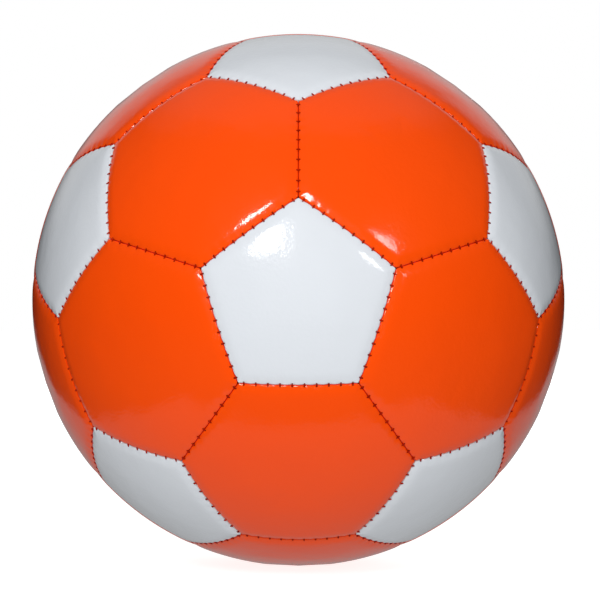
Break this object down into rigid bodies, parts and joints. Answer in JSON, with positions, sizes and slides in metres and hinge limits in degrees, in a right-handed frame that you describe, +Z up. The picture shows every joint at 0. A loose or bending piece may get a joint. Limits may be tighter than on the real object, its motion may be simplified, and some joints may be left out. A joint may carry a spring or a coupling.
{
  "type": "soccer ball",
  "caption": "Inflated ball of stitched pentagon and hexagon panels with rolled seams, foam and cloth backing, a bladder and a needle valve.",
  "frame": {"origin": "centre of the ball, which is also the middle of its bounding box", "axes": "+Z up; -Y towards the viewer, out of the middle of the front pentagon, which has a corner straight up; +Y out of the valve; +X to the viewer's right"},
  "size_m": [0.22, 0.2199, 0.22],
  "materials": {
    "white_skin": "glossy coated PVC, white, fine grain",
    "orange_skin": "glossy coated PVC, orange",
    "foam": "closed-cell foam, off-white",
    "lining": "woven polyester and cotton cloth, natural",
    "patch": "rubberised cloth ring",
    "thread": "waxed polyester thread, dark maroon",
    "bladder": "matt butyl rubber, black",
    "valve_housing": "moulded rubber, dark grey",
    "valve_plug": "soft moulded rubber, black"
  },
  "bodies": {
    "ball": {"pentagon_panel_01": "white_skin", "pentagon_panel_02": "white_skin", "pentagon_panel_03": "white_skin", "pentagon_panel_04": "white_skin", "pentagon_panel_05": "white_skin", "pentagon_panel_06": "white_skin", "pentagon_panel_07": "white_skin", "pentagon_panel_08": "white_skin", "pentagon_panel_09": "white_skin", "pentagon_panel_10": "white_skin", "pentagon_panel_11": "white_skin", "valve_pentagon_panel": "white_skin", "hexagon_panel_01": "orange_skin", "hexagon_panel_02": "orange_skin", "hexagon_panel_03": "orange_skin", "hexagon_panel_04": "orange_skin", "hexagon_panel_05": "orange_skin", "hexagon_panel_06": "orange_skin", "hexagon_panel_07": "orange_skin", "hexagon_panel_08": "orange_skin", "hexagon_panel_09": "orange_skin", "hexagon_panel_10": "orange_skin", "hexagon_panel_11": "orange_skin", "hexagon_panel_12": "orange_skin", "hexagon_panel_13": "orange_skin", "hexagon_panel_14": "orange_skin", "hexagon_panel_15": "orange_skin", "hexagon_panel_16": "orange_skin", "hexagon_panel_17": "orange_skin", "hexagon_panel_18": "orange_skin", "hexagon_panel_19": "orange_skin", "hexagon_panel_20": "orange_skin", "pentagon_foam_pads": "foam", "hexagon_foam_pads": "foam", "valve_panel_foam_pad": "foam", "pentagon_linings": "lining", "hexagon_linings": "lining", "valve_panel_lining": "lining", "valve_patch": "patch", "pentagon_seam_threads": "thread", "hexagon_seam_threads": "thread", "closing_seam_thread": "thread", "bladder": "bladder", "valve_housing": "valve_housing"},
    "valve_plug": {"valve_plug": "valve_plug"}
  },
  "joints": [
    {"name": "valve_plug_pull", "type": "slide", "parent": "ball", "child": "valve_plug", "axis": [0, 1, 0], "range_m": [0, 0.025]}
  ]
}
